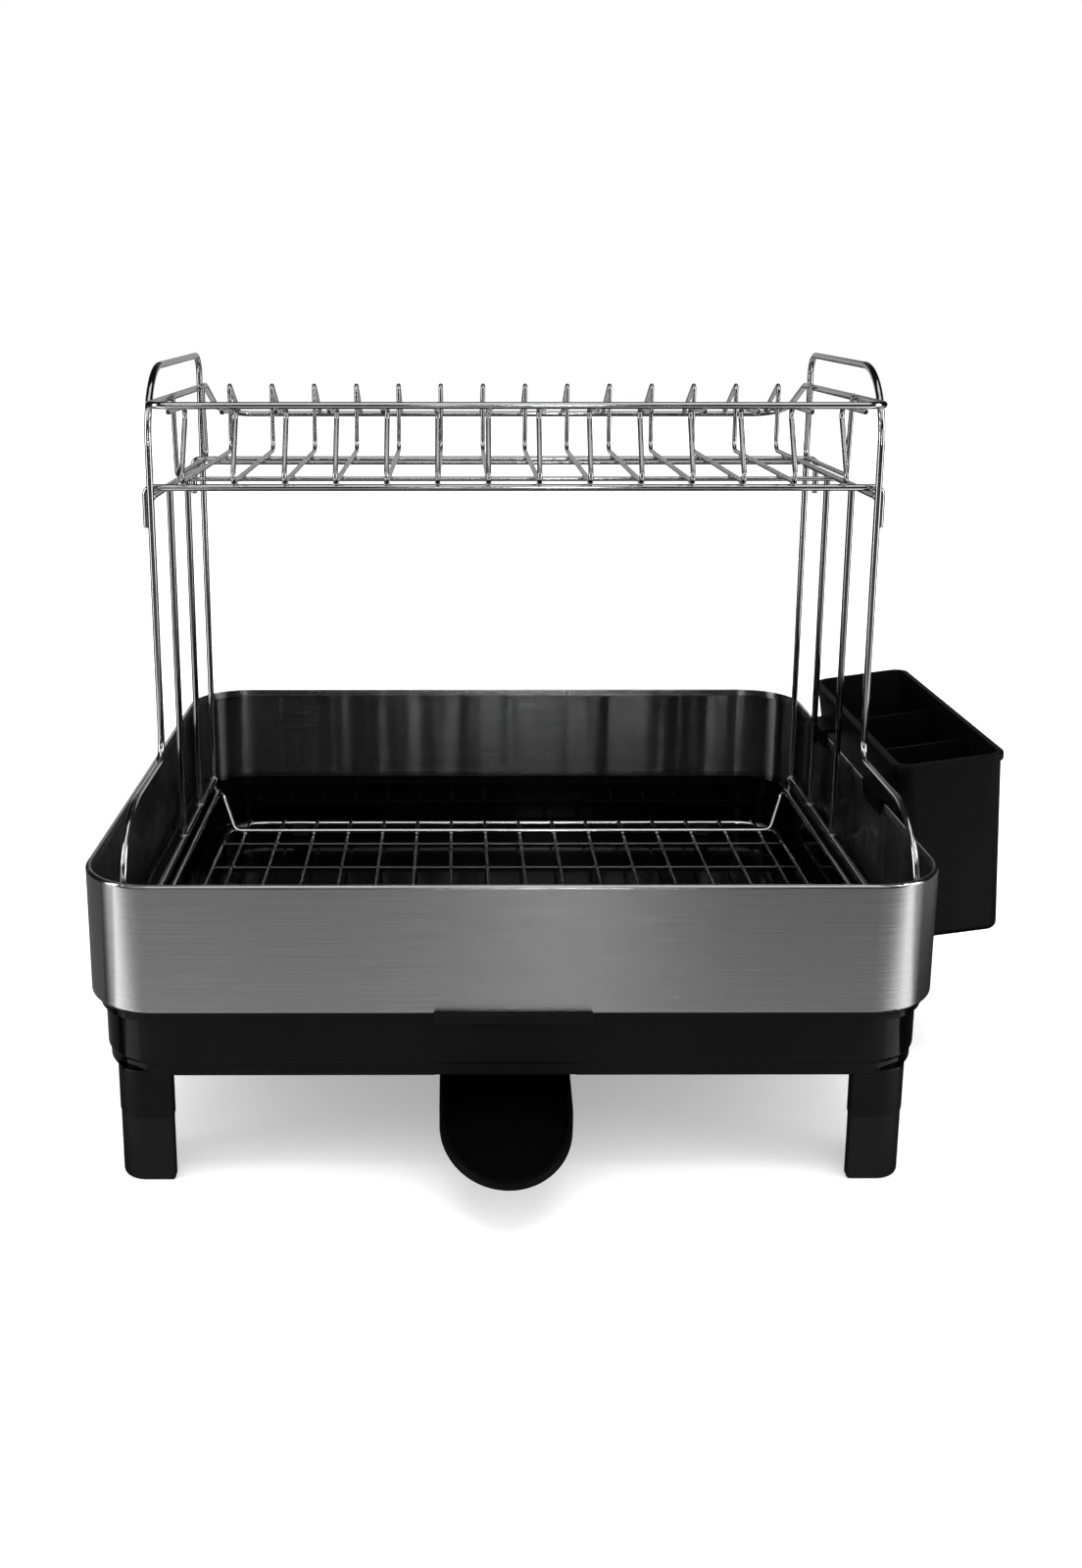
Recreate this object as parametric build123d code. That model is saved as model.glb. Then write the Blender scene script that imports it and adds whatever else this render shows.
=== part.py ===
# Two-tier dish drying rack: plastic drip tray with a brushed steel band, lift-out
# wire rack with two side frames, hang-on upper basket, hang-on cutlery caddy and a
# swivelling drain spout under the front edge.
#
# Millimetres, +Z up, X across the front, Y from the front to the back.
# The shapes are drawn with y = 0 on the front face of the steel band and x = 0 on its
# middle, then all moved by SHIFT so that the origin is under the middle of the whole.
import math
import os

from build123d import *

# ---------------------------------------------------------------- driving dimensions
SHIFT = (-33.384, -170.302, 0.0)

BAND_W, BAND_D, BAND_R = 430.0, 376.0, 38.0   # steel band, outside
BAND_Z0, BAND_Z1 = 96.0, 163.0
BAND_T = 1.0                                  # sheet
HEM_T, HEM_H = 2.6, 4.5                       # folded top edge
FLANGE_IN = 4.0                               # bottom flange, inward from the face

TRAY_FLOOR_Z, TRAY_BOTTOM_Z = 62.0, 58.4
COLLAR_Z = 99.5                               # top of the tray wall inside the band
WALL_Z = 64.4                                 # lower edge of the tray's outer wall
SEAM_Z = 36.0                                 # leg to foot joint

SPOUT_X, SPOUT_Y, SPOUT_W = -3.2, 74.0, 66.8  # swivel axis and tongue width
SPOUT_TIP_Y = -47.5
SPOUT_TILT = 8.0

RACK_DX = 4.5                                 # the wire rack stands this far right of middle
SIDE_HALF = 202.5                             # side frame planes
D_FRAME = 4.0                                 # side frame, rim and bar wire
D_RING = 3.2
D_THIN = 2.2
D_DIV = 3.0

POST_F, POST_1, POST_2, POST_B = 150.5, 207.0, 266.0, 325.0   # side frame posts, y
LEG_F = 38.0                                  # front leg of the side frame, y
HANDLE_Z, CROSS_Z, RAIL_Z, SHOULDER_Z = 403.5, 332.0, 111.0, 180.0
FOOT_END_Z = 100.5

FLOOR_PITCH, FLOOR_N = 24.04, 16              # lower rack floor wires
FLOOR_WIRE_Z = 74.0

DIV_PITCH, DIV_N = 28.55, 14                  # basket dividers
BAR_F_Y, BAR_B_Y = 160.0, 316.0               # basket hook bars
BAR_Z = CROSS_Z + D_FRAME + 0.35
RIM_HALF, RIM_F_Y, RIM_B_Y, RIM_BEND_Y = 198.1, 125.0, 380.0, 320.0
RIM_Z, RIM_BACK_Z = 384.4, 361.6
WELD = 0.12                                   # depth that welded wires sink into each other

CADDY_ROLL = 7.84
os.makedirs("parts", exist_ok=True)
MADE = {}


# ---------------------------------------------------------------- helpers
def vec(p):
    return p if isinstance(p, Vector) else Vector(*p)


def run_edges(points, radii):
    """Straight runs joined by tangent arcs, from the first point to the last."""
    pts = [vec(p) for p in points]
    edges, here = [], pts[0]
    for i in range(1, len(pts) - 1):
        a = (pts[i - 1] - pts[i]).normalized()
        b = (pts[i + 1] - pts[i]).normalized()
        half = math.radians(a.get_angle(b)) / 2
        r = radii[i - 1] if isinstance(radii, (list, tuple)) else radii
        t = r / math.tan(half)
        bis = (a + b).normalized()
        centre = pts[i] + bis * (r / math.sin(half))
        s, m, e = pts[i] + a * t, centre - bis * r, pts[i] + b * t
        if (s - here).length > 1e-6:
            edges.append(Edge.make_line(here, s))
        edges.append(Edge.make_three_point_arc(s, m, e))
        here = e
    if (pts[-1] - here).length > 1e-6:
        edges.append(Edge.make_line(here, pts[-1]))
    return edges


def bent(points, radii, dia, tip=0.0):
    """A bent round wire along the points. tip rounds off its two cut ends."""
    edges = run_edges(points, radii)
    path = Wire(edges)
    start = vec(points[0])
    direction = (vec(points[1]) - start).normalized()
    disc = Plane(origin=start, z_dir=direction) * Circle(dia / 2)
    body = sweep(disc, path=path)
    want = math.pi * dia * dia / 4 * path.length
    if abs(body.volume - want) > 0.01 * want:
        print("wire volume off", body.volume, want)
    if tip:
        ends = [e for e in body.edges() if e.is_closed and
                min((e.bounding_box().center() - vec(points[0])).length, (e.bounding_box().center() - vec(points[-1])).length) < 0.2]
        body = fillet(ends, tip)
    return body


def rod(a, b, dia, tip=0.0):
    a, b = vec(a), vec(b)
    body = extrude(Plane(origin=a, z_dir=(b - a).normalized()) * Circle(dia / 2), (b - a).length)
    if tip:
        body = fillet(body.edges().filter_by(GeomType.CIRCLE), tip)
    return body


def loop(points, radii, dia):
    """A closed bent wire, made as two halves that meet in the middle of two straight runs."""
    n = len(points)
    pts = [vec(p) for p in points]
    k = n // 2
    m0 = (pts[-1] + pts[0]) * 0.5
    m1 = (pts[k - 1] + pts[k]) * 0.5
    one = bent([m0, *pts[:k], m1], radii[:k], dia)
    two = bent([m1, *pts[k:], m0], radii[k:], dia)
    return one + two


def slab(w, d, r, z0, z1, cx=0.0, cy=BAND_D / 2):
    return Pos(cx, cy, z0) * extrude(RectangleRounded(w, d, r), z1 - z0)


def block(x0, x1, y0, y1, z0, z1):
    return Pos((x0 + x1) / 2, (y0 + y1) / 2, (z0 + z1) / 2) * Box(x1 - x0, y1 - y0, z1 - z0)


def flat_edges(shape, z, tol=0.02):
    return [e for e in shape.edges() if abs(e.bounding_box().min.Z - z) < tol and abs(e.bounding_box().max.Z - z) < tol]


def keep(name, *solids):
    out = []
    for s in solids:
        for one in (s.solids() if hasattr(s, "solids") else [s]):
            out.append(one.moved(Location(SHIFT)))
    MADE[name] = out


# ---------------------------------------------------------------- steel band
band = slab(BAND_W, BAND_D, BAND_R, BAND_Z0, BAND_Z1)
band = fillet(flat_edges(band, BAND_Z1), 1.7)
band = fillet(flat_edges(band, BAND_Z0), 1.8)
hollow = slab(BAND_W - 2 * BAND_T, BAND_D - 2 * BAND_T, BAND_R - BAND_T, BAND_Z0 + BAND_T, BAND_Z1 - HEM_H)
band -= fillet(flat_edges(hollow, BAND_Z0 + BAND_T), 0.8)
band -= slab(BAND_W - 2 * HEM_T, BAND_D - 2 * HEM_T, BAND_R - HEM_T, BAND_Z1 - HEM_H - 1, BAND_Z1 + 1)
band -= slab(BAND_W - 2 * FLANGE_IN, BAND_D - 2 * FLANGE_IN, BAND_R - FLANGE_IN, BAND_Z0 - 1, BAND_Z0 + BAND_T + 1)
inner_top = [e for e in flat_edges(band, BAND_Z1) if e.length > 1]
try:
    band = fillet([e for e in inner_top if abs(abs(e.center().X) - (BAND_W / 2 - HEM_T)) < 12 or abs(abs(e.center().Y - BAND_D / 2) - (BAND_D / 2 - HEM_T)) < 12], 0.7)
except Exception as err:
    print("inner hem edge left sharp", err)
keep("steel_band", band)

# ---------------------------------------------------------------- drip tray
IN_HALF = BAND_W / 2 - FLANGE_IN - 0.3        # collar outside
collar = slab(2 * IN_HALF, BAND_D - 2 * (BAND_W / 2 - IN_HALF), BAND_R - FLANGE_IN - 0.3, 90.0, COLLAR_Z)
lip = slab(423.0, 369.0, 34.5, 92.6, BAND_Z0)
lip = fillet(flat_edges(lip, 92.6), 1.4)
wall = slab(417.0, 363.0, 33.0, WALL_Z, 93.5)
wall = fillet(flat_edges(wall, WALL_Z), 3.0)
under = slab(414.0, 361.0, 31.0, TRAY_BOTTOM_Z, 76.0)
under = fillet(flat_edges(under, TRAY_BOTTOM_Z), 2.0)
tray = collar + lip + wall + under

LEG_X, LEG_Y, LEG_ARM, LEG_T = 200.4, 8.0, 29.4, 8.0   # outer corner of a leg, arm length and thickness


def leg_section(sx, sy, inset, z0, z1):
    """Angle section of a leg: two arms along the tray's edges, with a rounded outer corner."""
    outer = block(LEG_X - LEG_ARM + inset, LEG_X - inset, LEG_Y + inset, LEG_Y + LEG_ARM - inset, z0, z1)
    nook = block(100.0, LEG_X - LEG_T + inset, LEG_Y + LEG_T - inset, 100.0, z0 - 1, z1 + 1)
    nook = fillet(nook.edges().filter_by(Axis.Z).sort_by(lambda e: (e.center() - Vector(LEG_X, LEG_Y, e.center().Z)).length)[0], 6.5)
    leg = outer - nook
    upright = leg.edges().filter_by(Axis.Z)
    corner = upright.sort_by(lambda e: (e.center() - Vector(LEG_X, LEG_Y, e.center().Z)).length)[0]
    leg = fillet(corner, 14.0 - inset)
    ends = [e for e in leg.edges().filter_by(Axis.Z) if abs(e.center().X - (LEG_X - LEG_ARM + inset)) < 0.01 or abs(e.center().Y - (LEG_Y + LEG_ARM - inset)) < 0.01]
    leg = fillet(ends, 1.5)
    if sx < 0:
        leg = mirror(leg, about=Plane.YZ)
    if sy > 0:
        leg = mirror(leg, about=Plane(origin=(0, BAND_D / 2, 0), x_dir=(1, 0, 0), z_dir=(0, 1, 0)))
    return leg


def leg_pegs(sx, sy):
    """Places of a foot's two pegs, one in each arm."""
    yc = BAND_D / 2
    return [(sx * (LEG_X - 21.0), yc + sy * (yc - LEG_Y - LEG_T / 2)), (sx * (LEG_X - LEG_T / 2), yc + sy * (yc - LEG_Y - 21.0))]


CORNERS = [(sx, sy) for sx in (-1, 1) for sy in (-1, 1)]
for sx, sy in CORNERS:
    tray += leg_section(sx, sy, 0.0, SEAM_Z, TRAY_BOTTOM_Z + 3)

cavity = slab(411.0, 357.0, 28.5, TRAY_FLOOR_Z, 110.0)
cavity = fillet(flat_edges(cavity, TRAY_FLOOR_Z), 5.0)
tray -= cavity

# grip lip in the middle of the front, in front of the band's bottom edge
grip = block(-39.2, 39.2, -3.2, 9.0, 91.6, BAND_Z0 - 0.05) + block(-39.2, 39.2, -3.2, -0.35, 91.6, 97.8)
grip = fillet([e for e in grip.edges().filter_by(Axis.Y) if e.center().Z > 97], 1.6)
grip = fillet([e for e in grip.edges().filter_by(Axis.X) if e.center().Y < -3], 1.1)
grip -= slab(2 * (BAND_W / 2 - 0.0) + 0.7, BAND_D + 0.7, BAND_R + 0.35, BAND_Z0 - 0.04, 120)
tray += grip
# finger recess under the grip and pour-spout relief in the lower front edge
tray -= Pos(0, 6.0, 89.4) * fillet(Box(72.0, 3.8, 4.4).edges().filter_by(Axis.Y), 2.1)
tray -= block(SPOUT_X - 35.5, SPOUT_X + 35.5, 6.0, 9.4, 55.0, 60.4)

# drain hole with a shallow sump for the strainer
HOLE_R, SUMP_R = 13.2, 24.0
tray -= Pos(SPOUT_X, SPOUT_Y, 50.0) * Cylinder(HOLE_R, 40.0)
tray -= Pos(SPOUT_X, SPOUT_Y, TRAY_FLOOR_Z) * Cylinder(SUMP_R, 2.4)

# sockets for the feet
PEG_R, PEG_L = 2.6, 14.0
for sx, sy in CORNERS:
    for x, y in leg_pegs(sx, sy):
        tray -= Pos(x, y, SEAM_Z + PEG_L / 2) * Cylinder(PEG_R, PEG_L + 1.0)

# snap nubs above the band's bottom flange
for x, y, w, d in ((0, 188 - 183.5, 30, 2.4), (0, 188 + 183.5, 30, 2.4), (-210.9, 188, 2.4, 30), (210.9, 188, 2.4, 30)):
    tray += Pos(x, y, BAND_Z0 + BAND_T + 0.05 + 0.7) * Box(w, d, 1.4)
keep("drip_tray", tray)

# ---------------------------------------------------------------- feet
names = {(-1, -1): "foot_front_left", (1, -1): "foot_front_right", (-1, 1): "foot_rear_left", (1, 1): "foot_rear_right"}
for (sx, sy), name in names.items():
    foot = leg_section(sx, sy, 0.4, 0.0, SEAM_Z)
    foot = fillet(flat_edges(foot, 0.0), 1.6)
    foot = chamfer(flat_edges(foot, SEAM_Z), 0.5)
    for x, y in leg_pegs(sx, sy):
        foot += Pos(x, y, SEAM_Z + PEG_L / 2 - 0.5) * Cylinder(PEG_R - 0.02, PEG_L - 1.0)
    keep(name, foot)

# ---------------------------------------------------------------- swivelling drain spout
half = SPOUT_W / 2
tongue_len = SPOUT_Y - SPOUT_TIP_Y


def tongue(w, tip, z0, z1):
    """Tongue outline, drawn with the swivel axis at the origin and the tip towards -Y."""
    straight = -(tip - w * 1.42)
    with BuildSketch() as s:
        with BuildLine():
            a = Line((w, 0), (w, straight))
            b = EllipticalCenterArc((0, straight), w, tip + straight, start_angle=180, arc_size=180)
            c = Line((-w, straight), (-w, 0))
            d = CenterArc((0, 0), w, 0, 180)
        make_face()
    return Pos(0, 0, z0) * extrude(s.sketch, z1 - z0)


trough = tongue(half, tongue_len, -13.0, 0.0) - tongue(half - 2.2, tongue_len - 2.2, -10.6, 1.0)
# the side walls run out towards the tip
cutter = Pos(0, -tongue_len, 0) * Rot(8.0, 0, 0) * Box(120, 130, 30, align=(Align.CENTER, Align.CENTER, Align.MIN))
trough -= Pos(0, 0, -9.2) * cutter
trough = Rot(SPOUT_TILT, 0, 0) * trough
trough = trough & block(-60, 60, -200, 60, -60, -2.0)
tube_top = TRAY_FLOOR_Z + 1.9
spout = Pos(SPOUT_X, SPOUT_Y, TRAY_BOTTOM_Z - 0.5) * trough
neck = Pos(SPOUT_X, SPOUT_Y, TRAY_BOTTOM_Z - 0.5 - 6.0) * Cylinder(13.12, tube_top - (TRAY_BOTTOM_Z - 6.5), align=(Align.CENTER, Align.CENTER, Align.MIN))
cap = Pos(SPOUT_X, SPOUT_Y, TRAY_BOTTOM_Z - 3.4) * Cylinder(half - 0.6, 2.9, align=(Align.CENTER, Align.CENTER, Align.MIN))
spout = spout + neck + cap - Pos(SPOUT_X, SPOUT_Y, 49.0) * Cylinder(10.0, 30, align=(Align.CENTER, Align.CENTER, Align.MIN))
keep("drain_spout", spout)
floor_at = TRAY_FLOOR_Z - 1.2
strainer = Pos(SPOUT_X, SPOUT_Y, floor_at + 0.3) * Cylinder(20.0, 1.9, align=(Align.CENTER, Align.CENTER, Align.MIN))
strainer += Pos(SPOUT_X, SPOUT_Y, floor_at + 2.2) * Cylinder(16.5, 2.2, align=(Align.CENTER, Align.CENTER, Align.MIN))
strainer = fillet(flat_edges(strainer, floor_at + 4.4), 1.4)
strainer -= Pos(SPOUT_X, SPOUT_Y, floor_at - 3) * Cylinder(13.1, 6.2, align=(Align.CENTER, Align.CENTER, Align.MIN))
for k in range(8):
    a = math.radians(45 * k + 22.5)
    strainer -= Pos(SPOUT_X + 7.4 * math.cos(a), SPOUT_Y + 7.4 * math.sin(a), floor_at) * Cylinder(1.5, 30)
strainer -= Pos(SPOUT_X, SPOUT_Y, floor_at) * Cylinder(2.4, 30)
keep("drain_strainer", strainer)

# ---------------------------------------------------------------- lower wire rack
cx = RACK_DX
r_ring, r_thin = D_RING / 2, D_THIN / 2
ring_z = FLOOR_WIRE_Z - r_thin - r_ring + WELD
RING_HALF, RING_F, RING_B = 194.3, 28.0, 344.0
ring = loop(
    [(cx + RING_HALF, RING_F, ring_z), (cx + RING_HALF, RING_B, ring_z), (cx - RING_HALF, RING_B, ring_z), (cx - RING_HALF, RING_F, ring_z)],
    [26.0] * 4, D_RING)
keep("rack_base_ring", ring)

floor_wires = []
for i in range(FLOOR_N):
    x = cx + (i - (FLOOR_N - 1) / 2) * FLOOR_PITCH
    floor_wires.append(rod((x, RING_F - 3.0, FLOOR_WIRE_Z), (x, RING_B + 3.0, FLOOR_WIRE_Z), D_THIN, 0.5))
keep("rack_floor_wires", *floor_wires)

cross_z = FLOOR_WIRE_Z - D_THIN + WELD
cross_wires = []
for y in (300.0, 256.0, 212.0, 168.0, 124.0, 80.0):
    cross_wires.append(rod((cx - RING_HALF + r_ring - WELD, y, cross_z), (cx + RING_HALF - r_ring + WELD, y, cross_z), D_THIN))
keep("rack_cross_wires", *cross_wires)

# raised frame wire: low across the back and front, high along both sides
FR_HALF, FR_LOW_HALF, FR_B, FR_F = 199.2, 187.0, 314.0, 52.0
fr_low = FLOOR_WIRE_Z + r_thin + r_ring - WELD
fr_high = 102.5
FR_SB, FR_SF = 326.0, 40.0
frame = loop(
    [(cx + FR_LOW_HALF, FR_F, fr_low), (cx + FR_HALF, FR_SF - 8, fr_high), (cx + FR_HALF, FR_SB + 5, fr_high), (cx + FR_LOW_HALF, FR_B, fr_low),
     (cx - FR_LOW_HALF, FR_B, fr_low), (cx - FR_HALF, FR_SB + 5, fr_high), (cx - FR_HALF, FR_SF - 8, fr_high), (cx - FR_LOW_HALF, FR_F, fr_low)],
    [6.0, 5.0, 5.0, 6.0, 6.0, 5.0, 5.0, 6.0], D_RING)
keep("rack_frame_wire", frame)

feet = []
for sx in (-1, 1):
    for y in (RING_F, RING_B):
        x = cx + sx * 6 * FLOOR_PITCH
        f = block(x - 5, x + 5, y - 3.0, y + 3.0, TRAY_FLOOR_Z + 0.3, ring_z + 0.8)
        f = fillet([e for e in f.edges().filter_by(Axis.X) if e.center().Z < ring_z], 1.2)
        f -= rod((x - 20, y, ring_z), (x + 20, y, ring_z), D_RING)
        feet.append(f)
keep("rack_feet", *feet)

# ---------------------------------------------------------------- side frames
r_f = D_FRAME / 2
for side, s in (("left", -1), ("right", 1)):
    x = cx + s * SIDE_HALF
    hoop = bent(
        [(x, LEG_F, FOOT_END_Z), (x, LEG_F, SHOULDER_Z), (x, POST_F, SHOULDER_Z), (x, POST_F, HANDLE_Z - 1.0), (x, POST_B, HANDLE_Z + 0.8), (x, POST_B, FOOT_END_Z)],
        [45.0, 12.0, 42.0, 13.0], D_FRAME, 0.8)
    keep("%s_hoop" % side, hoop)
    cross = rod((x, POST_F + r_f - WELD, CROSS_Z), (x, POST_B - r_f + WELD, CROSS_Z), D_FRAME)
    keep("%s_crossbar" % side, cross)
    rail = rod((x, LEG_F + r_f - WELD, RAIL_Z), (x, POST_B - r_f + WELD, RAIL_Z), D_FRAME)
    keep("%s_rail" % side, rail)
    mids = [rod((x, y, RAIL_Z + r_f - WELD), (x, y, CROSS_Z - r_f + WELD), D_FRAME) for y in (POST_1, POST_2)]
    keep("%s_mid_posts" % side, *mids)

# ---------------------------------------------------------------- upper basket
rim = loop(
    [(cx + RIM_HALF, RIM_F_Y, RIM_Z), (cx + RIM_HALF, RIM_BEND_Y, RIM_Z), (cx + RIM_HALF, RIM_B_Y, RIM_BACK_Z),
     (cx - RIM_HALF, RIM_B_Y, RIM_BACK_Z), (cx - RIM_HALF, RIM_BEND_Y, RIM_Z), (cx - RIM_HALF, RIM_F_Y, RIM_Z)],
    [11.0, 10.0, 22.0, 22.0, 10.0, 11.0], D_FRAME)
keep("basket_rim", rim)

HOOK_X, HOOK_Z = SIDE_HALF + r_f + 0.6 + r_f, 313.5
for name, y in (("basket_front_bar", BAR_F_Y), ("basket_back_bar", BAR_B_Y)):
    bar = bent(
        [(cx - HOOK_X, y, HOOK_Z), (cx - HOOK_X, y, BAR_Z), (cx + HOOK_X, y, BAR_Z), (cx + HOOK_X, y, HOOK_Z)],
        [4.2, 4.2], D_FRAME, 0.9)
    keep(name, bar)

r_d = D_DIV / 2
div_z = BAR_Z + r_f + r_d - WELD
top_z = RIM_Z - r_f - r_d + WELD
# the sloped back leg lies on the rim's back rail
slope = math.atan2(RIM_Z - RIM_BACK_Z, RIM_B_Y - RIM_BEND_Y)
lift = r_f + r_d - WELD
UP_B = 343.0
back_tilt = math.radians(27.0)
on_rail = (RIM_B_Y + lift * math.sin(back_tilt), RIM_BACK_Z + lift * math.cos(back_tilt))
end_b = (on_rail[0] + 4.0 * math.cos(back_tilt), on_rail[1] - 4.0 * math.sin(back_tilt))
peak = (UP_B, on_rail[1] + (on_rail[0] - UP_B) * math.tan(back_tilt))
print("divider peak", peak)
dividers = []
for i in range(DIV_N):
    x = cx + (i - (DIV_N - 1) / 2) * DIV_PITCH
    dividers.append(bent(
        [(x, RIM_F_Y - 1.6, top_z), (x, 176.0, top_z), (x, 153.5, div_z), (x, UP_B, div_z), (x, peak[0], peak[1]), (x, end_b[0], end_b[1])],
        [5.0, 3.2, 6.0, 2.0], D_DIV, 0.4))
keep("basket_dividers", *dividers)

mid_z = div_z - r_d - 1.4 + WELD
mids = [rod((cx - 190.0, y, mid_z), (cx + 190.0, y, mid_z), 2.8, 0.6) for y in (197.0, 288.0)]
keep("basket_mid_bars", *mids)

END_X = RIM_HALF - r_f - r_d + WELD
for side, s in (("left", -1), ("right", 1)):
    x = cx + s * END_X
    wire = bent(
        [(x, 186.0, RIM_Z + 2.6), (x, 191.0, div_z), (x, 296.0, div_z), (x, 288.0, RIM_Z + 2.6)],
        [5.0, 5.0], D_DIV, 0.4)
    keep("basket_%s_end_wire" % side, wire)

# ---------------------------------------------------------------- cutlery caddy
C_Y0, C_Y1, C_X0, C_W = 111.3, 306.7, 219.28, 59.4
C_TOP, C_BOT, C_T, C_DRAFT = 186.74, 78.94, 2.2, 4.0
yc = (C_Y0 + C_Y1) / 2
c_len = C_Y1 - C_Y0


def cup(grow, z0, z1):
    """Drafted box section between two heights, narrower at the bottom."""
    def at(z):
        k = (C_TOP - z) * math.tan(math.radians(C_DRAFT))
        w, l = C_W - k + 2 * grow, c_len - 2 * k + 2 * grow
        r = max(9.0 + grow - 0.3 * k, 3.0)
        return Plane(origin=(C_X0 + k * 0.0 + (C_W - k) / 2, yc, z)) * RectangleRounded(w, l, r)
    return loft([at(z0), at(z1)], ruled=True)


shell = cup(0.0, C_BOT, C_TOP)
shell = fillet(flat_edges(shell, C_BOT), 5.0)
bead = cup(1.5, C_TOP - 4.4, C_TOP)
bead = fillet(flat_edges(bead, C_TOP), 1.2)
shell += bead
inside = cup(-C_T, C_BOT + 2.4, C_TOP + 1.0)
for k in (1, 2):
    y = C_Y0 + c_len * k / 3
    inside -= block(200, 300, y - 0.9, y + 0.9, C_BOT - 5, C_TOP - 11.0)
shell -= inside
for k in range(3):
    for dx in (-14.0, 0.0, 14.0):
        shell -= Pos(C_X0 + 29.0 + dx, C_Y0 + c_len * (k + 0.5) / 3, C_BOT) * Cylinder(2.5, 20)
for y0, y1 in ((126.0, 158.0), (256.0, 288.0)):
    shell += block(210.1, C_X0 + 1.5, y0, y1, BAND_Z1 + 0.75, BAND_Z1 + 3.6)
    shell += block(210.1, 211.5, y0, y1, 154.5, BAND_Z1 + 3.6)
# stand-off ribs that keep the caddy's foot away from the band
for y in (142.0, 272.0):
    shell += block(208.5, C_X0 + 1.0, y - 1.5, y + 1.5, 101.0, 112.0)
pivot = Vector(213.5, yc, BAND_Z1)
shell = Pos(pivot) * Rot(0, -CADDY_ROLL, 0) * Pos(-pivot) * shell
keep("caddy_shell", shell)

# ---------------------------------------------------------------- write
lo, hi = [1e9] * 3, [-1e9] * 3
for name, solids in MADE.items():
    for s in solids:
        b = s.bounding_box()
        lo = [min(lo[k], v) for k, v in enumerate((b.min.X, b.min.Y, b.min.Z))]
        hi = [max(hi[k], v) for k, v in enumerate((b.max.X, b.max.Y, b.max.Z))]
    whole = solids[0] if len(solids) == 1 else Compound(children=solids)
    whole.label = name
    export_step(whole, "parts/%s.step" % name)
    print(name, len(solids), [round(s.volume, 1) for s in solids][:4], all(s.is_valid for s in solids))
print("box", [round(v, 3) for v in lo], [round(v, 3) for v in hi])
print("middle", [round((a + b) / 2, 3) for a, b in zip(lo, hi)])
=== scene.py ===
import math

import bmesh
import bpy
from mathutils import Matrix, Quaternion, Vector


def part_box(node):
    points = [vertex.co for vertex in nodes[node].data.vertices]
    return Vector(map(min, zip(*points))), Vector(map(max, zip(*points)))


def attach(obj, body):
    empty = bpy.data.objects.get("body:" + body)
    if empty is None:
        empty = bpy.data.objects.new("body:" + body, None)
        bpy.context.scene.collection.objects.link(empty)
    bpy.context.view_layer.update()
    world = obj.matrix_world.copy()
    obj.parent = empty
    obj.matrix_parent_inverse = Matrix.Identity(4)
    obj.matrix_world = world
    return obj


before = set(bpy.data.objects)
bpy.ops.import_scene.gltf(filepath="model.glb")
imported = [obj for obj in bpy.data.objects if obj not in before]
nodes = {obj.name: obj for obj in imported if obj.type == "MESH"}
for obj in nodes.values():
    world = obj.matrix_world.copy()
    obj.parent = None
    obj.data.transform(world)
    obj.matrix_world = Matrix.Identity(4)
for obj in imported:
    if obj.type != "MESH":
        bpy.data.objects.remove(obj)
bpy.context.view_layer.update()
scene = bpy.context.scene

# drawing origin: middle of the steel band's front face, on the floor
b_lo, b_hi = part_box("steel_band")
OX, OY = (b_lo.x + b_hi.x) / 2, b_lo.y
MM = 0.001


def at(x, y, z):
    """Point in millimetres from the band's front middle to the shared frame."""
    return Vector((OX + x * MM, OY + y * MM, z * MM))


# ------------------------------------------------------------------ materials
def tree(name):
    m = bpy.data.materials.new(name)
    m.use_nodes = True
    nt = m.node_tree
    nt.nodes.clear()
    out = nt.nodes.new("ShaderNodeOutputMaterial")
    bsdf = nt.nodes.new("ShaderNodeBsdfPrincipled")
    nt.links.new(bsdf.outputs["BSDF"], out.inputs["Surface"])
    return m, nt, bsdf


def coords(nt, scale, kind="Object"):
    tc = nt.nodes.new("ShaderNodeTexCoord")
    mp = nt.nodes.new("ShaderNodeMapping")
    mp.inputs["Scale"].default_value = scale
    nt.links.new(tc.outputs[kind], mp.inputs["Vector"])
    return mp.outputs["Vector"]


def noise(nt, scale, detail=3.0, rough=0.55, distortion=0.0):
    n = nt.nodes.new("ShaderNodeTexNoise")
    n.inputs["Scale"].default_value = 1.0
    n.inputs["Detail"].default_value = detail
    n.inputs["Roughness"].default_value = rough
    n.inputs["Distortion"].default_value = distortion
    nt.links.new(coords(nt, scale), n.inputs["Vector"])
    return n.outputs["Fac"]


def ramp(nt, fac, stops):
    r = nt.nodes.new("ShaderNodeValToRGB")
    els = r.color_ramp.elements
    while len(els) < len(stops):
        els.new(0.5)
    for e, (p, c) in zip(els, stops):
        e.position = p
        e.color = (c, c, c, 1.0) if isinstance(c, (int, float)) else (*c, 1.0)
    nt.links.new(fac, r.inputs["Fac"])
    return r.outputs["Color"]


def spread(nt, fac, lo, hi, f0=0.25, f1=0.75):
    r = nt.nodes.new("ShaderNodeMapRange")
    r.inputs["From Min"].default_value = f0
    r.inputs["From Max"].default_value = f1
    r.inputs["To Min"].default_value = lo
    r.inputs["To Max"].default_value = hi
    nt.links.new(fac, r.inputs["Value"])
    return r.outputs["Result"]


def math_node(nt, op, a, b):
    n = nt.nodes.new("ShaderNodeMath")
    n.operation = op
    for i, v in enumerate((a, b)):
        if isinstance(v, (int, float)):
            n.inputs[i].default_value = v
        else:
            nt.links.new(v, n.inputs[i])
    return n.outputs[0]


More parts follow.
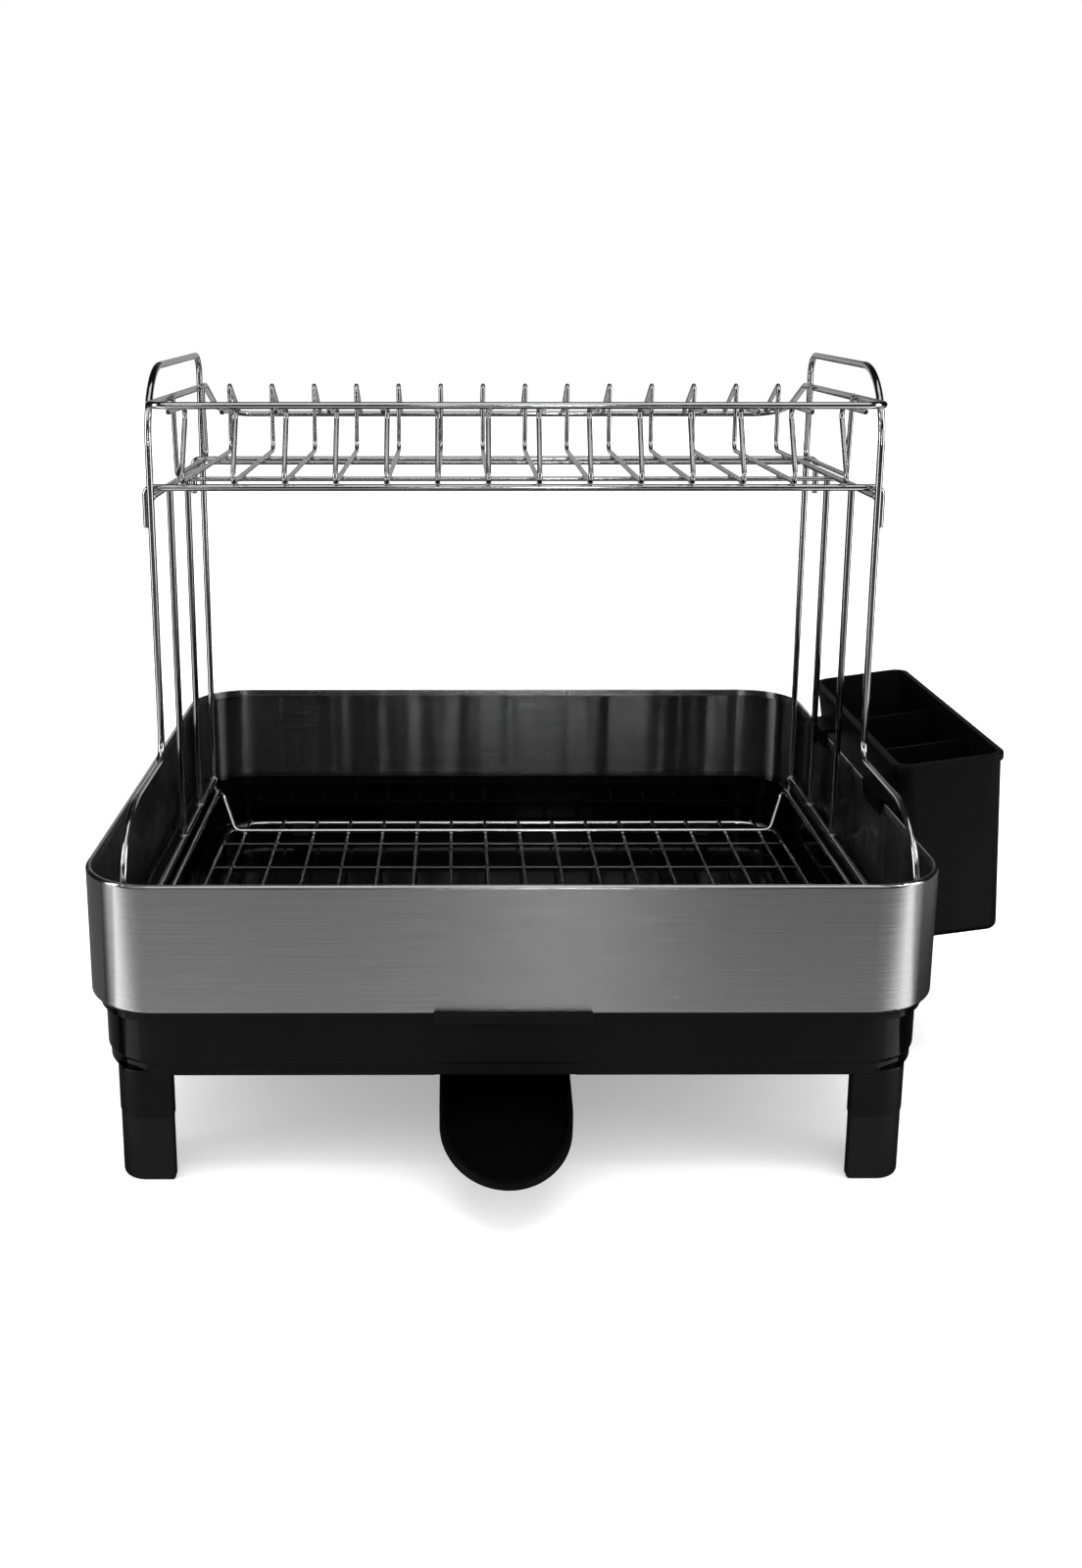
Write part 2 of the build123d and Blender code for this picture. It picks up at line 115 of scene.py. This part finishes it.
def bump(nt, height, strength, distance, bsdf):
    b = nt.nodes.new("ShaderNodeBump")
    b.inputs["Strength"].default_value = strength
    b.inputs["Distance"].default_value = distance
    nt.links.new(height, b.inputs["Height"])
    nt.links.new(b.outputs["Normal"], bsdf.inputs["Normal"])


def brushed_steel():
    m, nt, bsdf = tree("brushed_steel_band")
    fine = noise(nt, (18.0, 18.0, 2400.0), 2.0)
    broad = noise(nt, (14.0, 14.0, 2600.0), 2.0)
    mix = math_node(nt, "ADD", math_node(nt, "MULTIPLY", fine, 0.6), math_node(nt, "MULTIPLY", broad, 0.4))
    col = ramp(nt, mix, [(0.3, 0.325), (0.5, 0.365), (0.7, 0.405)])
    bsdf.inputs["Metallic"].default_value = 1.0
    nt.links.new(spread(nt, mix, 0.20, 0.26), bsdf.inputs["Roughness"])
    bsdf.inputs["Anisotropic"].default_value = 1.0
    bsdf.inputs["Anisotropic Rotation"].default_value = 0.25
    tan = nt.nodes.new("ShaderNodeTangent")
    tan.direction_type = "RADIAL"
    tan.axis = "Z"
    nt.links.new(tan.outputs["Tangent"], bsdf.inputs["Tangent"])
    # slight unevenness of the thin sheet, upright waves that show on the inner walls
    tc = nt.nodes.new("ShaderNodeTexCoord")
    sep = nt.nodes.new("ShaderNodeSeparateXYZ")
    nt.links.new(tc.outputs["Object"], sep.inputs["Vector"])
    r = 0.038
    qx = math_node(nt, "MAXIMUM", math_node(nt, "SUBTRACT", math_node(nt, "ABSOLUTE", math_node(nt, "SUBTRACT", sep.outputs["X"], OX), 0.0), 0.215 - r), 0.0)
    qy = math_node(nt, "MAXIMUM", math_node(nt, "SUBTRACT", math_node(nt, "ABSOLUTE", math_node(nt, "SUBTRACT", sep.outputs["Y"], OY + 0.188), 0.0), 0.188 - r), 0.0)
    dist = math_node(nt, "SQRT", math_node(nt, "ADD", math_node(nt, "MULTIPLY", qx, qx), math_node(nt, "MULTIPLY", qy, qy)), 0.0)
    inner = math_node(nt, "LESS_THAN", dist, r - 0.0005)
    # the folded edge's upward-facing top is painted brighter as a painted highlight, and the inner walls below it are
    # painted darker as painted shade
    below = math_node(nt, "LESS_THAN", sep.outputs["Z"], b_hi[2] - 0.0044)
    inner = math_node(nt, "MULTIPLY", inner, below)
    geo = nt.nodes.new("ShaderNodeNewGeometry")
    face = nt.nodes.new("ShaderNodeSeparateXYZ")
    nt.links.new(geo.outputs["Normal"], face.inputs["Vector"])
    painted_top_highlight = math_node(nt, "MULTIPLY", ramp(nt, face.outputs["Z"], [(0.5, 0.0), (0.92, 1.0)]), math_node(nt, "SUBTRACT", 1.0, below))
    # painted light: base colour raised on the up-facing rim top (painted highlight) and halved on the inner walls
    # (painted shade)
    painted_light_gain = math_node(nt, "ADD", math_node(nt, "MULTIPLY", painted_top_highlight, 1.6), math_node(nt, "SUBTRACT", 1.0, math_node(nt, "MULTIPLY", inner, 0.5)))
    shade = nt.nodes.new("ShaderNodeVectorMath")
    shade.operation = "SCALE"
    nt.links.new(col, shade.inputs[0])
    nt.links.new(painted_light_gain, shade.inputs["Scale"])
    nt.links.new(shade.outputs["Vector"], bsdf.inputs["Base Color"])
    wave = math_node(nt, "MULTIPLY", noise(nt, (27.0, 27.0, 1.2), 2.0), math_node(nt, "MULTIPLY", inner, 0.0036))
    bump(nt, math_node(nt, "ADD", math_node(nt, "MULTIPLY", fine, 0.00009), wave), 0.8, 1.0, bsdf)
    return m


def chrome(name, base=0.80, r0=0.07, r1=0.16):
    m, nt, bsdf = tree(name)
    drawn = noise(nt, (350.0, 350.0, 350.0), 3.0)
    stain = noise(nt, (28.0, 28.0, 28.0), 4.0)
    col = ramp(nt, stain, [(0.3, base * 0.9), (0.55, base), (0.75, min(base * 1.05, 0.95))])
    nt.links.new(col, bsdf.inputs["Base Color"])
    bsdf.inputs["Metallic"].default_value = 1.0
    nt.links.new(spread(nt, stain, r0, r1), bsdf.inputs["Roughness"])
    bump(nt, drawn, 0.05, 0.0001, bsdf)
    return m


def weld_metal():
    m, nt, bsdf = tree("weld_metal")
    n = noise(nt, (1400.0, 1400.0, 1400.0), 3.0)
    nt.links.new(ramp(nt, n, [(0.3, 0.42), (0.7, 0.72)]), bsdf.inputs["Base Color"])
    bsdf.inputs["Metallic"].default_value = 1.0
    nt.links.new(spread(nt, n, 0.18, 0.38), bsdf.inputs["Roughness"])
    bump(nt, n, 0.25, 0.0003, bsdf)
    return m


def black_plastic(name, base=0.0045, r0=0.42, r1=0.58, grain=0.12, spec=0.35):
    m, nt, bsdf = tree(name)
    grainy = noise(nt, (2600.0, 2600.0, 2600.0), 2.0)
    cloud = noise(nt, (16.0, 16.0, 16.0), 3.0)
    col = ramp(nt, cloud, [(0.3, base * 0.85), (0.7, base * 1.2)])
    nt.links.new(col, bsdf.inputs["Base Color"])
    nt.links.new(spread(nt, math_node(nt, "ADD", math_node(nt, "MULTIPLY", cloud, 0.5), math_node(nt, "MULTIPLY", grainy, 0.5)), r0, r1), bsdf.inputs["Roughness"])
    bsdf.inputs["Specular IOR Level"].default_value = spec
    bump(nt, grainy, grain, 0.0002, bsdf)
    return m


def tray_plastic():
    """Matte outside, polished inside, with the inside's base colour painted darker as painted shade: the inside is
    told from the outside by its place.
    """
    m, nt, bsdf = tree("black_tray")
    grainy = noise(nt, (2600.0, 2600.0, 2600.0), 2.0)
    cloud = noise(nt, (16.0, 16.0, 16.0), 3.0)
    tc = nt.nodes.new("ShaderNodeTexCoord")
    sep = nt.nodes.new("ShaderNodeSeparateXYZ")
    nt.links.new(tc.outputs["Object"], sep.inputs["Vector"])
    cx, cy = OX, OY + 0.188
    inx = math_node(nt, "LESS_THAN", math_node(nt, "ABSOLUTE", math_node(nt, "SUBTRACT", sep.outputs["X"], cx), 0.0), 0.2066)
    iny = math_node(nt, "LESS_THAN", math_node(nt, "ABSOLUTE", math_node(nt, "SUBTRACT", sep.outputs["Y"], cy), 0.0), 0.1796)
    up = math_node(nt, "GREATER_THAN", sep.outputs["Z"], 0.0604)
    inside = math_node(nt, "MULTIPLY", math_node(nt, "MULTIPLY", inx, iny), up)
    # painted shade: the base colour inside the tray is cut to a quarter
    shade = math_node(nt, "SUBTRACT", 1.0, math_node(nt, "MULTIPLY", inside, 0.75))
    nt.links.new(math_node(nt, "MULTIPLY", ramp(nt, cloud, [(0.3, 0.0026), (0.7, 0.0036)]), shade), bsdf.inputs["Base Color"])
    matte = spread(nt, grainy, 0.44, 0.58)
    gloss = spread(nt, cloud, 0.08, 0.16)
    rough = math_node(nt, "ADD", math_node(nt, "MULTIPLY", inside, gloss), math_node(nt, "MULTIPLY", math_node(nt, "SUBTRACT", 1.0, inside), matte))
    nt.links.new(rough, bsdf.inputs["Roughness"])
    bsdf.inputs["Specular IOR Level"].default_value = 0.09
    bump(nt, math_node(nt, "MULTIPLY", grainy, math_node(nt, "SUBTRACT", 1.0, inside)), 0.12, 0.0002, bsdf)
    return m


def soft_rubber():
    m, nt, bsdf = tree("soft_foot_rubber")
    n = noise(nt, (1500.0, 1500.0, 1500.0), 3.0)
    nt.links.new(ramp(nt, n, [(0.3, 0.004), (0.7, 0.007)]), bsdf.inputs["Base Color"])
    nt.links.new(spread(nt, n, 0.55, 0.75), bsdf.inputs["Roughness"])
    bump(nt, n, 0.15, 0.0002, bsdf)
    return m


STEEL = brushed_steel()
# one chrome in six copies whose base brightness differs as painted light: the posts, thin and cross wires painted
# darker as painted shade, the ring, frame and floor wires painted brighter as painted highlight
WIRE = chrome("chrome_wire_thick", 0.62)
POST_PAINTED_DARKER = chrome("chrome_wire_post", 0.42)
THIN = chrome("chrome_wire_thin", 0.58, 0.09, 0.2)
RING_PAINTED_BRIGHTER = chrome("chrome_wire_ring", 0.95, 0.08, 0.16)
FLOOR_WIRE = chrome("chrome_wire_floor", 0.65, 0.08, 0.16)
CROSS_PAINTED_DARKER = chrome("chrome_wire_cross", 0.15, 0.12, 0.24)
WELD = weld_metal()
TRAY = tray_plastic()
PLASTIC = black_plastic("black_moulded")
# copies of one black plastic whose base tones differ as painted light: the feet painted lighter, the caddy's own
# black deepened partly as painted shade for its inside, the spout painted nearly black as painted shade under the
# tray
FEET_PAINTED_LIGHTER = black_plastic("black_feet", 0.0054, 0.44, 0.58, 0.12, 0.09)
CADDY_PAINTED_DARKER = black_plastic("black_caddy", 0.0019, 0.40, 0.54, 0.10, 0.09)
SPOUT_PAINTED_DARK = black_plastic("black_spout", 0.0007, 0.5, 0.62, 0.06, 0.08)
SOFT = soft_rubber()

for name, obj in nodes.items():
    if name == "steel_band":
        mat = STEEL
    elif name == "drip_tray":
        mat = TRAY
    elif name.startswith("foot_"):
        mat = FEET_PAINTED_LIGHTER
    elif name == "caddy_shell":
        mat = CADDY_PAINTED_DARKER
    elif name.startswith("drain_"):
        mat = SPOUT_PAINTED_DARK
    elif name == "rack_feet":
        mat = SOFT
    elif name in ("rack_base_ring", "rack_frame_wire"):
        mat = RING_PAINTED_BRIGHTER
    elif name == "rack_floor_wires":
        mat = FLOOR_WIRE
    elif name.endswith("_mid_posts"):
        mat = POST_PAINTED_DARKER
    elif name == "rack_cross_wires":
        mat = CROSS_PAINTED_DARKER
    elif name in ("basket_dividers", "basket_left_end_wire", "basket_right_end_wire", "basket_mid_bars"):
        mat = THIN
    else:
        mat = WIRE
    obj.data.materials.clear()
    obj.data.materials.append(mat)

# ------------------------------------------------------------------ weld beads
def beads(name, spots, body):
    """Small squashed beads of weld metal at wire crossings, joined in one piece."""
    bm = bmesh.new()
    for i, (x, y, z, rx, ry, rz) in enumerate(spots):
        turn = Matrix.Rotation(0.7 * (i % 9), 4, "Z")
        made = bmesh.ops.create_icosphere(bm, subdivisions=2, radius=1.0)
        wobble = 1.0 + 0.08 * math.sin(2.3 * i)
        place = Matrix.Translation(at(x, y, z)) @ Matrix.Diagonal((rx * wobble * MM, ry * MM / wobble, rz * MM, 1.0)) @ turn
        bmesh.ops.transform(bm, matrix=place, verts=made["verts"])
    me = bpy.data.meshes.new(name)
    bm.to_mesh(me)
    bm.free()
    for p in me.polygons:
        p.use_smooth = True
    o = bpy.data.objects.new(name, me)
    scene.collection.objects.link(o)
    me.materials.append(WELD)
    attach(o, body)
    return o


CX = 4.5                                   # the wire rack's middle
DIV_X = [CX + (i - 6.5) * 28.55 for i in range(14)]
FLOOR_X = [CX + (i - 7.5) * 24.04 for i in range(16)]
BAR_TOP = 332.0 + 4.0 + 0.35 + 2.0         # top of the hook bars
basket = []
for x in DIV_X:
    for y in (160.0, 316.0):
        basket.append((x, y, BAR_TOP - 0.1, 2.1, 2.0, 0.9))
    for y in (197.0, 288.0):
        basket.append((x, y, BAR_TOP - 0.1, 2.0, 1.7, 0.8))
    basket.append((x, 125.6, 384.4 - 2.0, 2.0, 1.7, 0.9))
    basket.append((x, 380.6, 361.6 + 1.9, 2.0, 1.4, 0.9))
beads("weld_beads_basket", basket, "upper_basket")
rack = []
for x in FLOOR_X:
    for y in (28.0, 344.0):
        rack.append((x, y, 72.9, 1.6, 1.7, 0.7))
    for y in (80.0, 124.0, 168.0, 212.0, 256.0, 300.0):
        rack.append((x, y, 72.9, 1.4, 1.4, 0.7))
    for y in (52.0, 314.0):
        rack.append((x, y, 75.1, 1.6, 1.7, 0.7))
for s_ in (-1, 1):
    x = CX + s_ * 202.5
    for y in (207.0, 266.0):
        rack.append((x, y, 113.0, 2.6, 2.6, 1.3))
        rack.append((x, y, 330.0, 2.6, 2.6, 1.3))
    rack.append((x, 152.5, 332.0, 2.6, 1.3, 2.6))
    rack.append((x, 323.0, 332.0, 2.6, 1.3, 2.6))
    rack.append((x, 40.0, 111.0, 2.6, 1.3, 2.6))
    rack.append((x, 323.0, 111.0, 2.6, 1.3, 2.6))
beads("weld_beads_rack", rack, "wire_rack")

# ------------------------------------------------------------------ stage
floor_me = bpy.data.meshes.new("studio_floor")
bm = bmesh.new()
bmesh.ops.create_grid(bm, x_segments=2, y_segments=2, size=6.0)
bm.to_mesh(floor_me)
bm.free()
floor = bpy.data.objects.new("studio_floor", floor_me)
scene.collection.objects.link(floor)
m, nt, bsdf = tree("studio_floor_white")
n = noise(nt, (3.0, 3.0, 3.0), 2.0)
nt.links.new(ramp(nt, n, [(0.3, 0.88), (0.7, 0.9)]), bsdf.inputs["Base Color"])
bsdf.inputs["Roughness"].default_value = 0.9
bsdf.inputs["Specular IOR Level"].default_value = 0.0
bsdf.inputs["Emission Color"].default_value = (1, 1, 1, 1)
bsdf.inputs["Emission Strength"].default_value = 0.30
floor_me.materials.append(m)
floor.visible_glossy = False


def card(name, centre, size, look_at, strength, spin=0.0, stops=None):
    """A plain glowing or dark card that shows only in reflections."""
    me = bpy.data.meshes.new(name)
    b = bmesh.new()
    bmesh.ops.create_grid(b, x_segments=1, y_segments=1, size=0.5)
    b.to_mesh(me)
    b.free()
    o = bpy.data.objects.new(name, me)
    scene.collection.objects.link(o)
    o.location = centre
    d = (Vector(look_at) - Vector(centre)).normalized()
    o.rotation_euler = (d.to_track_quat("Z", "Y") @ Quaternion((0.0, 0.0, 1.0), math.radians(spin))).to_euler()
    o.scale = (size[0], size[1], 1.0)
    mat = bpy.data.materials.new(name)
    mat.use_nodes = True
    mat.node_tree.nodes.clear()
    em = mat.node_tree.nodes.new("ShaderNodeEmission")
    em.inputs["Color"].default_value = (1, 1, 1, 1)
    em.inputs["Strength"].default_value = strength
    if stops:
        tc = mat.node_tree.nodes.new("ShaderNodeTexCoord")
        sep = mat.node_tree.nodes.new("ShaderNodeSeparateXYZ")
        mat.node_tree.links.new(tc.outputs["Generated"], sep.inputs["Vector"])
        mat.node_tree.links.new(ramp(mat.node_tree, sep.outputs["X"], stops), em.inputs["Color"])
    out = mat.node_tree.nodes.new("ShaderNodeOutputMaterial")
    mat.node_tree.links.new(em.outputs["Emission"], out.inputs["Surface"])
    me.materials.append(mat)
    o.visible_camera = False
    o.visible_diffuse = False
    o.visible_shadow = False
    o.visible_transmission = False
    return o


def softbox(name, centre, size, look_at, power):
    li = bpy.data.lights.new(name, "AREA")
    li.shape = "RECTANGLE"
    li.size, li.size_y = size
    li.energy = power
    o = bpy.data.objects.new(name, li)
    scene.collection.objects.link(o)
    o.location = centre
    d = (Vector(look_at) - Vector(centre)).normalized()
    o.rotation_euler = d.to_track_quat("-Z", "Y").to_euler()
    return o


MID = (OX, OY + 0.19, 0.2)
top = softbox("top_box", (OX, OY + 0.1, 1.7), (1.6, 1.3), MID, 22.0)
top.visible_glossy = False
softbox("left_box", (OX - 1.55, OY - 0.50, 0.55), (0.42, 1.5), MID, 6.0)
softbox("right_box", (OX + 1.5, OY - 0.42, 0.55), (0.75, 1.5), MID, 8.0)
# the lit floor just in front of the object, a little brighter on the left and near the object
for part, y0, y1, glow in (("near", -0.28, 0.0, 0.70), ("next", -0.75, -0.28, 0.52)):
    card("floor_%s_card" % part, (OX, OY + (y0 + y1) / 2, -0.02), (3.0, y1 - y0), (OX, OY + (y0 + y1) / 2, 5.0), glow,
         stops=[(0.0, 0.66), (0.44, 0.72), (0.60, 0.96), (1.0, 1.0)])
card("floor_far_card", (OX, OY - 1.875, -0.02), (5.0, 2.25), (OX, OY - 1.875, 5.0), 0.08)
card("floor_back_card", (OX, OY + 1.5, -0.02), (5.0, 3.0), (OX, OY + 1.5, 5.0), 0.03)
card("floor_behind_card", (OX, OY + 0.86, -0.016), (1.3, 0.8), (OX, OY + 0.86, 5.0), 0.50)
card("floor_right_card", (OX + 1.0, OY + 0.25, -0.016), (0.8, 0.9), (OX + 1.0, OY + 0.25, 5.0), 0.40)
card("front_card", (OX, OY - 2.6, 0.9), (3.0, 1.8), (OX, OY, 0.9), 0.01)
for i, (x, w, glow) in enumerate(((-0.66, 0.06, 2.2), (-0.06, 0.05, 4.5), (0.22, 0.10, 17.0))):
    card("front_streak_%d" % i, (OX + x, OY - 2.5, 0.75), (w, 0.9), (OX + x, OY, 0.75), glow)
card("back_card", (OX, OY + 2.6, 0.55), (1.3, 1.1), (OX, OY, 0.55), 0.40)
for side in (-1, 1):
    card("back_side_%s_card" % ("left" if side < 0 else "right"), (OX + side * 1.15, OY + 2.6, 0.5), (1.0, 0.8), (OX, OY, 0.5), 0.6)
card("back_upper_card", (OX, OY + 2.6, 1.6), (3.0, 1.2), (OX, OY, 1.6), 0.06)
card("front_upper_card", (OX, OY - 1.1, 2.0), (2.5, 1.5), MID, 0.95)
card("ceiling_card", (OX + 0.1, OY - 0.1, 2.1), (1.5, 0.8), MID, 1.0)
card("floor_back_left_card", (OX - 0.65, OY + 0.45, -0.015), (0.8, 0.8), (OX - 0.65, OY + 0.45, 5.0), 0.20)
card("right_streak", (OX + 1.45, OY - 0.25, 0.75), (0.16, 0.9), MID, 7.0)
card("left_streak", (OX - 1.5, OY - 0.25, 0.75), (0.16, 0.9), MID, 7.0)
for side, azimuth, width, glow in ((-1, 62.0, 0.12, 2.2), (1, 63.0, 0.17, 2.0)):
    # bright strip on the floor that runs away from a front corner of the band
    dx, dy = side * math.sin(math.radians(azimuth)), -math.cos(math.radians(azimuth))
    mid = (OX + side * 0.19 + dx * 0.75, OY + 0.01 + dy * 0.75, -0.015)
    card("floor_strip_%s" % ("left" if side < 0 else "right"), mid, (1.3, width), (mid[0], mid[1], 5.0), glow, math.degrees(math.atan2(dy, dx)))

world = bpy.data.worlds.new("studio")
scene.world = world
world.use_nodes = True
wn = world.node_tree
wn.nodes.clear()
path = wn.nodes.new("ShaderNodeLightPath")
white = wn.nodes.new("ShaderNodeBackground")
white.inputs["Color"].default_value = (1, 1, 1, 1)
white.inputs["Strength"].default_value = 1.0
room = wn.nodes.new("ShaderNodeBackground")
room.inputs["Color"].default_value = (1, 1, 1, 1)
room.inputs["Strength"].default_value = 0.008
amb = wn.nodes.new("ShaderNodeBackground")
amb.inputs["Color"].default_value = (1, 1, 1, 1)
amb.inputs["Strength"].default_value = 1.25
mix1 = wn.nodes.new("ShaderNodeMixShader")
mix2 = wn.nodes.new("ShaderNodeMixShader")
wout = wn.nodes.new("ShaderNodeOutputWorld")
wn.links.new(path.outputs["Is Glossy Ray"], mix1.inputs["Fac"])
wn.links.new(amb.outputs["Background"], mix1.inputs[1])
wn.links.new(room.outputs["Background"], mix1.inputs[2])
wn.links.new(path.outputs["Is Camera Ray"], mix2.inputs["Fac"])
wn.links.new(mix1.outputs["Shader"], mix2.inputs[1])
wn.links.new(white.outputs["Background"], mix2.inputs[2])
wn.links.new(mix2.outputs["Shader"], wout.inputs["Surface"])

# ------------------------------------------------------------------ camera
cam_data = bpy.data.cameras.new("camera")
cam = bpy.data.objects.new("camera", cam_data)
scene.collection.objects.link(cam)
cam_data.sensor_fit = "AUTO"
cam_data.sensor_width = 36.0
cam_data.lens = 1520.0 * 36.0 / 1600.0
cam_data.shift_x = (552.0 - 469.0) / 1600.0
cam_data.shift_y = (640.0 - 800.0) / 1600.0
cam_data.clip_start, cam_data.clip_end = 0.02, 60.0
cam.location = at(-28.2, -675.0, 437.9)
cam.rotation_euler = (math.radians(90.0 - 12.29), 0.0, math.radians(-0.15))
scene.camera = cam
scene.view_settings.view_transform = "Standard"
